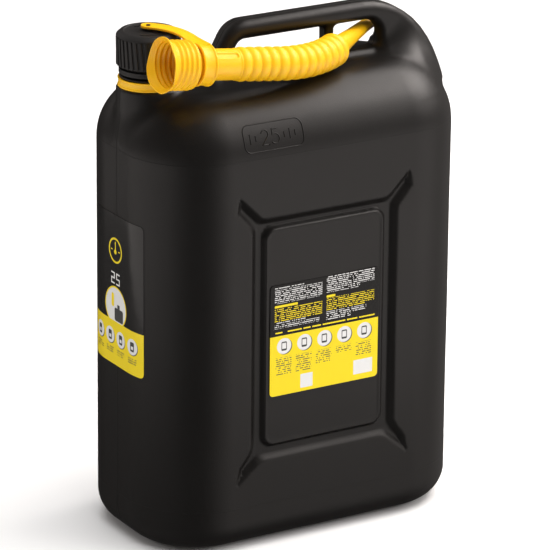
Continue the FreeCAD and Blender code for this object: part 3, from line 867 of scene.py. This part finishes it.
def spout_points():
    """The spout as one closed skin, out along its outside and back along its inside."""
    outer_s = np.concatenate([
        np.linspace(0, 34, 86), np.linspace(34.6, 47, 14), np.linspace(47.6, 80, 56), np.linspace(80.4, 83, 6),
        BELLOWS_START + (BELLOWS_END - BELLOWS_START) * np.arange(1, CONVOLUTIONS * 12 + 1) / (CONVOLUTIONS * 12),
        BELLOWS_END + np.array([0.4, 1.0, 1.8, 2.6, 3.4, 4.4, 6, 9, 13, 18, 24, 30, 36, 40, 44, 52, 60, 68, 74,
                                80, 90, 98, 102.6, 103.4, 103.85, 104])])
    inner_s = np.concatenate([BELLOWS_END + np.array([103.85, 103, 80, 40, 8]), np.linspace(BELLOWS_END, 84, 40),
                              np.linspace(80, 38, 8), np.linspace(34, 0, 80)])
    angle = 2 * math.pi * np.arange(SPOUT_SIDES) / SPOUT_SIDES
    edge = 0.7 + 0.9 * np.cos(2 * angle + 0.9) + 0.5 * np.cos(5 * angle + 2.2)
    rows = []
    for stations, inside in ((outer_s, False), (inner_s, True)):
        s = stations[:, None] + np.zeros(SPOUT_SIDES)
        s = s + np.maximum(edge, 0) * (1 - ease(s / 6))
        radius = spout_radius(s, angle)
        if inside:
            plain = (stations > 84)[:, None]
            radius = np.where(plain & (s < BELLOWS_END), BELLOWS_BORE, radius - SPOUT_WALL)
        else:
            radius = radius - pocket(s, angle)
            ends = np.clip((s - BELLOWS_END - 102.6) / 1.4, 0, 1)
            radius = radius - 0.55 * ends ** 2
            radius = radius - 0.35 * np.clip(1 - stations[:, None] / 0.6, 0, 1) ** 2
        centre, ahead = spout_centre(s.ravel())
        side = np.cross(HINGE, ahead)
        spin = np.tile(angle, len(stations))
        out = -side * np.cos(spin)[:, None] + HINGE * np.sin(spin)[:, None]
        rows.append(centre + out * radius.ravel()[:, None])
    verts = np.concatenate(rows)
    return verts, strips(len(verts) // SPOUT_SIDES, SPOUT_SIDES, True, True)


spout = mesh_piece("pouring_spout", *spout_points())
face_outwards(spout)
spout.data.materials.append(spout_plastic)
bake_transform(spout)
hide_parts("spout_socket", "spout_bellows", "spout_nozzle")


# ---------------------------------------------------------------- labels
# Two printed polypropylene films, glued on after moulding: one on the pressed panel and one wrapped
# round the narrow side. The print is plain zones, discs and rows of ticks, a dial and the number 25.

LABEL_LIFT = 0.33
LABEL_UNDER = 0.05
PANEL_LABEL = (62.0, 157.0, 272.0, 4.0)
SIDE_LABEL = (47.0, 180.0, 336.0, 5.0)
SIDE_FLAT = CAN_HALF_DEPTH - CAN_CORNER


def film_points(half, low, high, corner, place):
    """A thin film with rounded corners; place maps (across, up, lift) to a point."""
    ups = np.concatenate([low + corner * (1 - np.cos(np.linspace(0, math.pi / 2, 8))),
                          np.linspace(low + corner, high - corner, 60)[1:-1],
                          high - corner * (1 - np.cos(np.linspace(math.pi / 2, 0, 8)))])
    shares = np.linspace(-1, 1, 61)
    verts, plan = [], []
    for lift in (LABEL_LIFT, LABEL_UNDER):
        for up in ups:
            into = max(low + corner - up, up - high + corner, 0)
            wide = half - corner + math.sqrt(max(corner ** 2 - into ** 2, 0))
            for share in shares:
                verts.append(place(share * wide, up, lift))
                plan.append((share * wide, up))
    wide, tall = len(shares), len(ups)
    size = wide * tall
    faces = strips(tall, wide)
    faces += [tuple(size + face[k] for k in (0, 3, 2, 1)) for face in faces]
    rim = [*range(wide)] + [j * wide + wide - 1 for j in range(1, tall)]
    rim += [(tall - 1) * wide + i for i in range(wide - 2, -1, -1)] + [j * wide for j in range(tall - 2, 0, -1)]
    for a, b in zip(rim, rim[1:] + rim[:1]):
        faces.append((b, a, size + a, size + b))
    return np.array(verts), faces, plan


def film(name, half, low, high, corner, place):
    """A film with a map of its print in metres."""
    points, faces, plan = film_points(half, low, high, corner, place)
    piece = mesh_piece(name, points, faces)
    layer = piece.data.uv_layers.new(name="print")
    for loop in piece.data.loops:
        u, v = plan[loop.vertex_index]
        layer.data[loop.index].uv = (u * 0.001, v * 0.001)
    face_outwards(piece, 40, merge=False)
    return piece


def on_panel(across, up, lift):
    """A point of the film on the pressed panel."""
    return (across, -CAN_HALF_DEPTH - lift, up)


def on_side(across, up, lift):
    """Round the narrow side, which is flat in the middle and turns at the corners."""
    past = abs(across) - SIDE_FLAT
    if past <= 0:
        return (-CAN_HALF_WIDTH - lift, -across, up)
    turn = past / CAN_CORNER
    reach = CAN_CORNER + lift
    way = math.copysign(1, across)
    return (-CAN_HALF_WIDTH + CAN_CORNER - reach * math.cos(turn), -way * (SIDE_FLAT + reach * math.sin(turn)), up)


def rounded_zone_group():
    """Node group: 1 inside a rounded rectangle of the print, 0 outside."""
    group = bpy.data.node_groups.new("print_zone", "ShaderNodeTree")
    given, out = group_ends(
        group, {"Across": 0.0, "Up": 0.0, "Middle": (0, 0, 0), "Half Size": (0.01, 0.01, 0), "Corner": 0.001},
        ("Mask",))
    middle, half = (chain(group, "ShaderNodeSeparateXYZ", {}, Vector=given[name]) for name in ("Middle", "Half Size"))
    sides = []
    for name, axis in (("Across", "X"), ("Up", "Y")):
        off = maths(group, "ABSOLUTE", maths(group, "SUBTRACT", given[name], middle.outputs[axis]))
        near = maths(group, "ADD", maths(group, "SUBTRACT", off, half.outputs[axis]), given["Corner"])
        sides.append(maths(group, "POWER", maths(group, "MAXIMUM", near, 0.0), 2.0))
    root = maths(group, "SQRT", maths(group, "ADD", *sides))
    away = maths(group, "SUBTRACT", root, given["Corner"])
    mask = chain(group, "ShaderNodeMapRange", {}, Value=away, i1=-0.0001, i2=0.0001, i3=1.0, i4=0.0)
    group.links.new(mask.outputs[0], out["Mask"])
    return group


def tick_rows_group():
    """Node group: rows of short ticks of uneven length, such as small print seen from afar."""
    group = bpy.data.node_groups.new("print_ticks", "ShaderNodeTree")
    given, out = group_ends(
        group, {"Across": 0.0, "Up": 0.0, "Row": 0.0022, "Tick": 0.0016, "Inked": 0.62}, ("Mask",))
    rows = maths(group, "DIVIDE", given["Up"], given["Row"])
    row = maths(group, "FLOOR", rows)
    part = maths(group, "FRACT", rows)
    in_row = maths(group, "COMPARE", part, 0.45, 0.21)
    shift = maths(group, "MULTIPLY_ADD", row, 0.37, 0.0)
    steps = maths(group, "DIVIDE", given["Across"], given["Tick"])
    moved = maths(group, "ADD", steps, shift)
    cell = maths(group, "FLOOR", moved)
    spot = chain(group, "ShaderNodeCombineXYZ", {}, X=cell, Y=row)
    chance = chain(group, "ShaderNodeTexWhiteNoise", {"noise_dimensions": "2D"}, Vector=spot)
    inked = maths(group, "LESS_THAN", chance.outputs["Value"], given["Inked"])
    mask = maths(group, "MULTIPLY", inked, in_row)
    group.links.new(mask, out["Mask"])
    return group


PRINT_ZONE = rounded_zone_group()
PRINT_TICKS = tick_rows_group()
INK_BLACK = (0.0075, 0.0072, 0.0068)
INK_YELLOW = (0.76, 0.59, 0.012)
INK_WHITE = (0.66, 0.66, 0.65)
INK_GREY = (0.05, 0.05, 0.05)


def printed_film(name, layers, gleam):
    """Glossy film printed with layers of (colour, middle, half size, corner, ticks), in millimetres."""
    material, tree, shader = fresh_material(name)
    shader.inputs["Specular IOR Level"].default_value = gleam
    plan = chain(tree, "ShaderNodeUVMap", {"uv_map": "print"})
    parts = chain(tree, "ShaderNodeSeparateXYZ", {}, Vector=plan)
    across, up = parts.outputs["X"], parts.outputs["Y"]
    colour = (*INK_BLACK, 1)
    for ink, middle, half, corner, ticks in layers:
        mask = chain(tree, "ShaderNodeGroup", {"node_tree": PRINT_ZONE}, Across=across, Up=up,
                     Middle=(middle[0] * 0.001, middle[1] * 0.001, 0),
                     Half_Size=(half[0] * 0.001, half[1] * 0.001, 0), Corner=corner * 0.001).outputs["Mask"]
        if ticks:
            row, tick, inked = ticks
            rows = chain(tree, "ShaderNodeGroup", {"node_tree": PRINT_TICKS}, Across=across, Up=up,
                         Row=row * 0.001, Tick=tick * 0.001, Inked=inked)
            mask = maths(tree, "MULTIPLY", mask, rows.outputs["Mask"])
        colour = chain(tree, "ShaderNodeMix", {"data_type": "RGBA"}, i0=mask, i6=colour, i7=(*ink, 1)).outputs[2]
    finish = chain(tree, "ShaderNodeGroup", {"node_tree": MOULDED}, Grain_Scale=260.0, Grain=0.10, Wave=1.0,
                   Shine=0.17, Shine_Change=0.12)
    dim = chain(tree, "ShaderNodeMapRange", {}, Value=finish.outputs["Mottle"], i3=0.94, i4=1.0)
    tinted = chain(tree, "ShaderNodeVectorMath", {"operation": "SCALE"}, i0=colour, Scale=dim)
    dress(tree, shader, tinted.outputs[0], finish, finish.outputs["Height"], 0.0003)
    return material


def block(ink, left, right, low, high, corner=0.6, ticks=None):
    """A layer of print: a plain rounded block."""
    return (ink, ((left + right) / 2, (low + high) / 2), ((right - left) / 2, (high - low) / 2), corner, ticks)


def column(ink, left, right, low, high, row=2.0, tick=1.1, inked=0.74):
    """A layer of print: rows of ticks."""
    return block(ink, left, right, low, high, 0.1, (row, tick, inked))


def disc(ink, across, up, radius):
    """A layer of print: a round spot."""
    return (ink, (across, up), (radius, radius), radius, None)


panel_print = [
    column(INK_WHITE, -57, -24, 267.5, 269.7), column(INK_WHITE, -57, -3, 253, 267),
    block(INK_YELLOW, -57, -31, 248.6, 251),
    column(INK_YELLOW, -57, -3, 234, 248), column(INK_WHITE, -57, -22, 231.4, 233.6),
    column(INK_WHITE, -57, -6, 227, 231),
    column(INK_WHITE, 2, 57, 259, 271.4), column(INK_WHITE, 2, 40, 254.8, 259), block(INK_YELLOW, 2, 12, 249.6, 252),
    column(INK_YELLOW, 2, 57, 238, 249), column(INK_YELLOW, 2, 46, 235.6, 238), column(INK_WHITE, 2, 48, 230, 235),
    column(INK_WHITE, 2, 30, 225.6, 229.8), column(INK_YELLOW, -57, 58, 220.6, 223.8, 3.4, 2.0, 0.86),
    block(INK_YELLOW, -62.5, 62.5, 150, 219.2, 0.1),
]
for across, tall in ((-46, 19), (-23, 19), (0, 14), (23, 7), (46, 14)):
    panel_print += [disc(INK_GREY, across + 0.9, 207.4, 8.3), disc(INK_WHITE, across, 208, 8.2)]
    panel_print += [block(INK_GREY, across - 3.1, across + 3.1, 203.2, 212.6, 1.2),
                    block(INK_WHITE, across - 2.2, across + 2.2, 205.2, 211.2, 0.4)]
    panel_print.append(column(INK_GREY, across - 9.5, across + 8.5, 197 - tall, 196.6, 2.2, 1.3, 0.6))
panel_print += [block(INK_WHITE, -27, -13, 160.5, 175), block(INK_WHITE, 34, 56, 163, 178)]

side_print = []
for left, upper, lower in ((-10.5, -4.9, -10.5), (-0.5, -0.5, 5.1)):
    side_print += [block(INK_WHITE, left, left + 7.0, low, low + 1.5, 0.3) for low in (264.0, 269.3, 274.6)]
    side_print += [block(INK_WHITE, upper, upper + 1.4, 269.3, 276.1, 0.3),
                   block(INK_WHITE, lower, lower + 1.4, 264.0, 270.8, 0.3)]
side_print += [
    disc(INK_YELLOW, -2, 299, 13.0), disc(INK_BLACK, -2, 299, 11.0), block(INK_YELLOW, -2.8, -1.2, 296, 308, 0.4),
    disc(INK_YELLOW, -2, 297.5, 2.4), block(INK_YELLOW, -11, -7.5, 298.4, 299.6, 0.1),
    block(INK_YELLOW, 3.5, 7, 298.4, 299.6, 0.1),
    disc(INK_YELLOW, -1.5, 240.6, 21.2), disc(INK_WHITE, -1.5, 240.6, 19.6),
    block(INK_GREY, -4, 13, 226.5, 240, 2.4), block(INK_YELLOW, -10, -5, 240, 254, 2.0),
    block(INK_GREY, 1.5, 6.5, 240, 244, 0.8),
    block(INK_YELLOW, -54.5, 54.5, 170, 225.6, 0.1),
]
for across in (-34, -13, 8, 30):
    side_print += [disc(INK_GREY, across + 0.8, 208.4, 8.4), disc(INK_WHITE, across, 209, 8.3),
                   block(INK_GREY, across - 3.2, across + 3.2, 204, 214, 1.4),
                   block(INK_WHITE, across - 1.9, across + 1.9, 206.2, 209.5, 0.5),
                   column(INK_GREY, across - 7, across + 7, 190.5, 197, 2.3, 1.2, 0.68)]

for part, ink, node in (
        (film("panel_film", *PANEL_LABEL, on_panel), printed_film("panel_print", panel_print, 0.22), "panel_label"),
        (film("side_film", *SIDE_LABEL, on_side), printed_film("side_print", side_print, 0.5), "side_label")):
    part.data.materials.append(ink)
    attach(part, "can")
    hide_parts(node)


# ---------------------------------------------------------------- where it stands
# A white table and soft studio light: a wide softbox overhead, others to the right of the camera,
# behind to the left and above the handle, and two that stand for the lit table's own glow.

CAMERA_PLACE = Vector((-2.0742, -3.4569, 1.6724))
CAMERA_AHEAD = Vector((0.4852, 0.80805, -0.3341))
CAMERA_ROLL = 0.554
CAMERA_LENS = 280.58
SURROUND = [
    ((0, 0, -1), (-1.0, -0.9), 0.05),
    ((0.52, -0.78, -0.33), (0.78, 0.98), 0.45),
    ((-0.90, 0.20, -0.36), (0.38, 0.92), 0.10),
    ((0.68, -0.36, 0.64), (0.76, 0.97), 1.7),
    ((0.95, 0.05, -0.20), (0.70, 1.0), 0.25),
    ((-0.35, 0.80, 0.47), (0.80, 1.0), 0.35),
]
SOFT_ALL_ROUND = 0.18
WARM_WHITE = (1.0, 0.93, 0.89, 1)


def floor_material():
    """A dull white, a little uneven."""
    material, tree, shader = fresh_material("white_table")
    shader.inputs["Roughness"].default_value = 0.9
    shader.inputs["Specular IOR Level"].default_value = 0.2
    noise = chain(tree, "ShaderNodeTexNoise", {}, Scale=1.5)
    shade = chain(tree, "ShaderNodeMapRange", {}, Value=noise.outputs["Fac"], i3=0.93, i4=0.95).outputs["Result"]
    tint = chain(tree, "ShaderNodeCombineColor", {}, Red=shade, Green=shade, Blue=shade)
    tree.links.new(tint.outputs["Color"], shader.inputs["Base Color"])
    return material


def lay_floor():
    """A wide table, which shiny surfaces don't mirror and which shades nothing."""
    far = 60000
    points = [(-far, -far, 0), (far, -far, 0), (far, far, 0), (-far, far, 0)]
    floor = mesh_piece("floor", points, [(0, 1, 2, 3)])
    floor.data.materials.append(floor_material())
    floor.visible_glossy = False
    floor.visible_shadow = False


def softbox(name, place, target, width, height, power, glow=False):
    """An area lamp; a glow is warm, and shiny surfaces mirror it."""
    light = bpy.data.lights.new(name, "AREA")
    light.shape = "RECTANGLE"
    light.size = width
    light.size_y = height
    light.energy = power
    light.color = WARM_WHITE[:3] if glow else (1, 1, 1)
    lamp = placed(name, light)
    lamp.location = place
    lamp.rotation_euler = (Vector(target) - Vector(place)).to_track_quat("-Z", "Y").to_euler()
    lamp.visible_glossy = glow
    lamp.visible_camera = False


def studio_surround():
    """What the glossy plastic sees all round: pale patches and darker gaps, by direction."""
    world = bpy.data.worlds.new("studio")
    world.use_nodes = True
    tree = world.node_tree
    back = tree.nodes["Background"]
    place = tree.nodes.new("ShaderNodeTexCoord")
    total = 0.0
    for direction, reach, strength in SURROUND:
        dot = chain(tree, "ShaderNodeVectorMath", {"operation": "DOT_PRODUCT"}, i0=place.outputs["Generated"],
                    i1=Vector(direction).normalized())
        patch = chain(tree, "ShaderNodeMapRange", {"interpolation_type": "SMOOTHERSTEP"}, Value=dot.outputs["Value"],
                      From_Min=reach[0], From_Max=reach[1], To_Max=strength)
        total = maths(tree, "ADD", total, patch.outputs["Result"])
    seen = tree.nodes.new("ShaderNodeLightPath")
    soft = maths(tree, "MULTIPLY_ADD", seen.outputs["Is Diffuse Ray"], SOFT_ALL_ROUND, total)
    pick = chain(tree, "ShaderNodeMix", {}, Factor=seen.outputs["Is Camera Ray"], A=soft, B=1.0)
    tree.links.new(pick.outputs["Result"], back.inputs["Strength"])
    warmth = chain(tree, "ShaderNodeMix", {"data_type": "RGBA"}, i0=seen.outputs["Is Camera Ray"], i6=WARM_WHITE,
                   i7=(1, 1, 1, 1))
    tree.links.new(warmth.outputs[2], back.inputs["Color"])
    bpy.context.scene.world = world


lay_floor()
studio_surround()
softbox("overhead", (0.2, -0.4, 3.6), (0, -0.1, 0), 4.5, 4.0, 158)
softbox("right_of_camera", (2.6, -2.6, 1.9), (0, 0, 0.3), 1.4, 1.8, 34)
softbox("front_table_glow", (0.95, -1.15, 0.004), (0.95, -1.15, 1), 1.7, 1.5, 4.8, glow=True)
softbox("left_table_glow", (-1.66, 0.45, 0.004), (-1.66, 0.45, 1), 1.9, 2.2, 9.4, glow=True)
softbox("above_the_handle", (0.97, 0.0, 1.2), (0.97, 0.0, 0), 0.95, 1.0, 15, glow=True)
softbox("behind_left", (-2.6, 1.6, 1.4), (0, 0, 0.25), 1.4, 1.4, 10)

ahead = CAMERA_AHEAD.normalized()
right = ahead.cross(Vector((0, 0, 1))).normalized()
upward = right.cross(ahead)
roll = math.radians(CAMERA_ROLL)
right, upward = (math.cos(roll) * right + math.sin(roll) * upward,
                 math.cos(roll) * upward - math.sin(roll) * right)
lens = bpy.data.cameras.new("camera")
lens.sensor_width = 36
lens.lens = CAMERA_LENS
lens.clip_end = 200
camera = placed("camera", lens)
camera.matrix_world = Matrix.Translation(CAMERA_PLACE) @ Matrix((right, upward, -ahead)).transposed().to_4x4()
bpy.context.scene.camera = camera
bpy.context.scene.view_settings.view_transform = "Standard"
